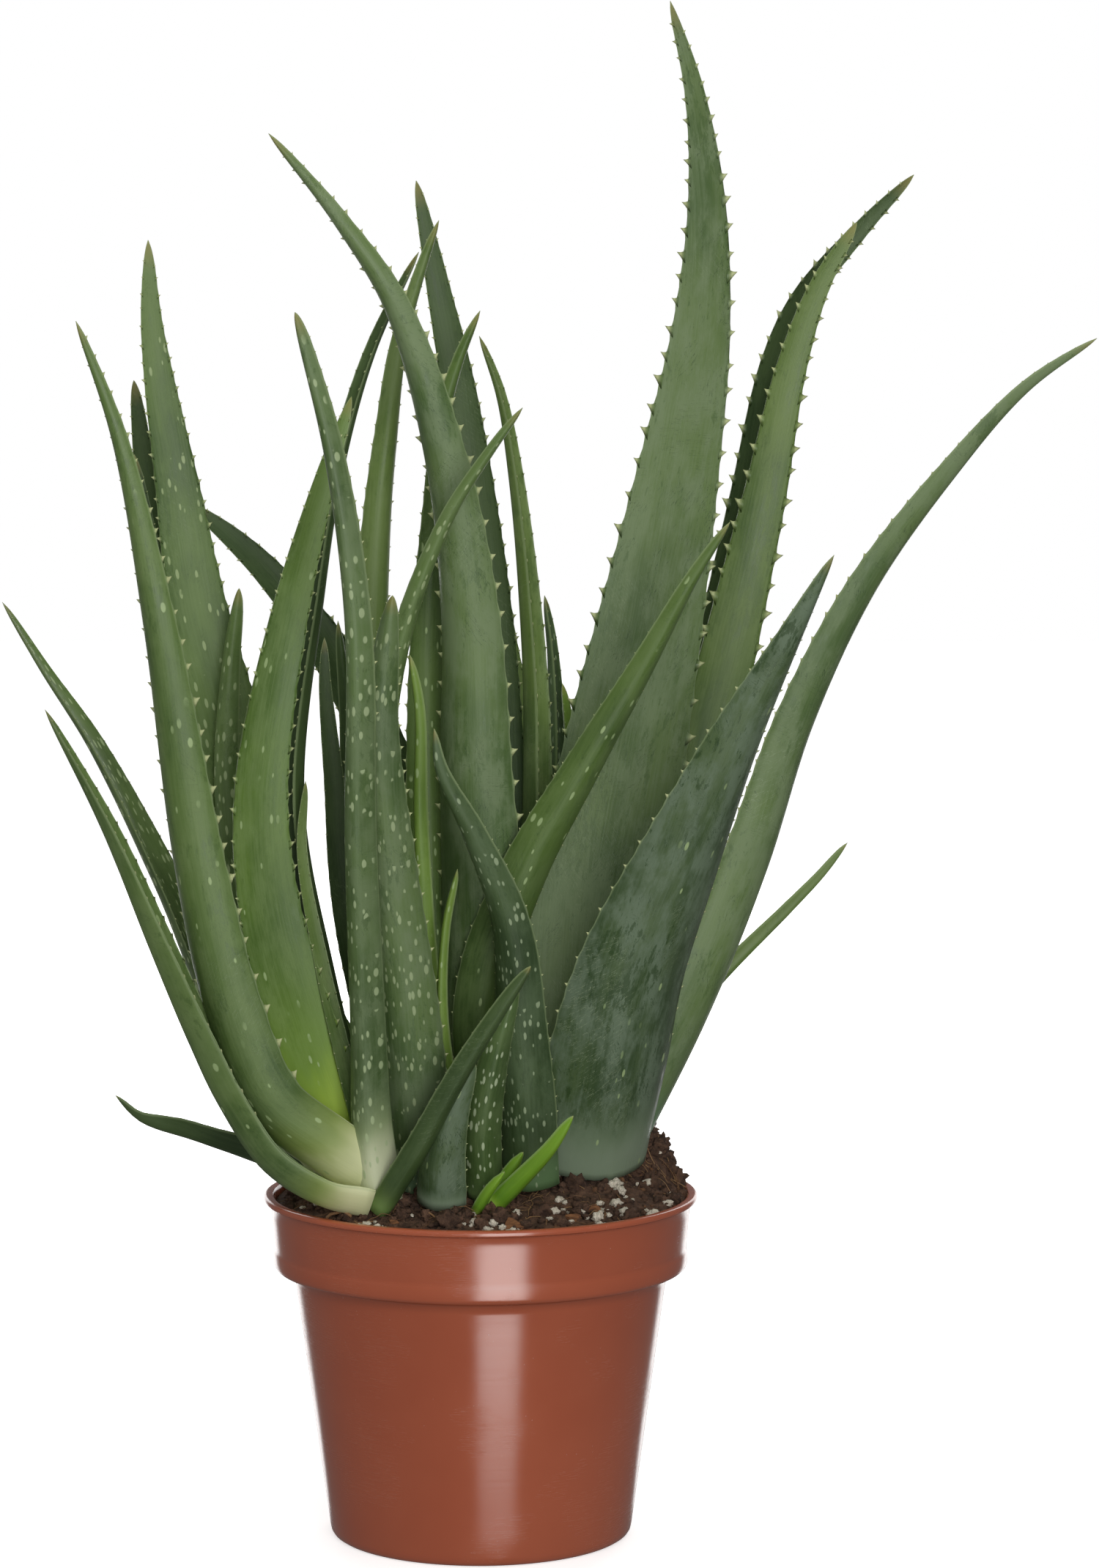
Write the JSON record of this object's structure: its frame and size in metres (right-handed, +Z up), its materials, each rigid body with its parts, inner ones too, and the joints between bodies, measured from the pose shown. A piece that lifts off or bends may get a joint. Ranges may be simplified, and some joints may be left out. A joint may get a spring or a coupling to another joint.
{
  "type": "potted aloe plant",
  "caption": "Succulent plant with long tapering toothed leaves rising in clumps from soil in a round tapered plastic nursery pot with a flat underside",
  "frame": {"origin": "centre of the flat underside of the pot, where the plant rests on a table or floor", "axes": "+Z is up along the pot's axis and the leaves' overall rise; -Y is the front, the side with the young shoots; +X is to the right seen from the front"},
  "size_m": [0.421, 0.2665, 0.596],
  "materials": {
    "pot": "smooth moulded terracotta-coloured plastic with a soft gloss",
    "soil": "rough dark brown peat soil with white mineral grains",
    "crown": "smooth pale yellow-green plant tissue",
    "green_leaf": "smooth waxy mid-green leaf skin",
    "dark_leaf": "smooth waxy dark-green leaf skin",
    "glaucous_leaf": "waxy leaf skin with a dull grey-green bloom",
    "young_leaf": "smooth bright yellow-green young leaf skin"
  },
  "bodies": {
    "root": {"pot": "pot", "potting_soil": "soil", "left_crown": "crown", "centre_crown": "crown", "right_crown": "crown", "front_crown": "crown", "rear_crown": "crown", "far_crown": "crown", "left_leaf_1": "green_leaf", "left_leaf_2": "green_leaf", "left_leaf_3": "glaucous_leaf", "centre_leaf_1": "green_leaf", "right_leaf_1": "dark_leaf", "front_leaf_1": "dark_leaf", "front_leaf_2": "young_leaf", "front_leaf_3": "green_leaf", "front_leaf_4": "green_leaf", "sprout_leaf_1": "young_leaf", "sprout_leaf_2": "young_leaf", "sprout_leaf_3": "young_leaf", "centre_leaf_2": "green_leaf", "front_leaf_5": "young_leaf", "right_leaf_2": "green_leaf", "left_leaf_4": "green_leaf", "left_leaf_5": "young_leaf", "left_leaf_6": "dark_leaf", "centre_leaf_3": "glaucous_leaf", "centre_leaf_4": "young_leaf", "left_leaf_7": "dark_leaf", "left_leaf_8": "dark_leaf", "centre_leaf_5": "dark_leaf", "centre_leaf_6": "green_leaf", "centre_leaf_7": "young_leaf", "centre_leaf_8": "green_leaf", "rear_leaf_1": "green_leaf", "rear_leaf_2": "green_leaf", "rear_leaf_3": "dark_leaf", "rear_leaf_4": "dark_leaf", "rear_leaf_5": "dark_leaf", "centre_leaf_9": "green_leaf", "centre_leaf_10": "dark_leaf", "right_leaf_3": "glaucous_leaf", "right_leaf_4": "glaucous_leaf", "right_leaf_5": "green_leaf", "right_leaf_6": "dark_leaf", "right_leaf_7": "green_leaf", "far_leaf_1": "young_leaf", "far_leaf_2": "dark_leaf", "far_leaf_3": "green_leaf", "far_leaf_4": "green_leaf", "far_leaf_5": "green_leaf", "rear_leaf_6": "green_leaf", "rear_leaf_7": "green_leaf"}
  },
  "joints": []
}
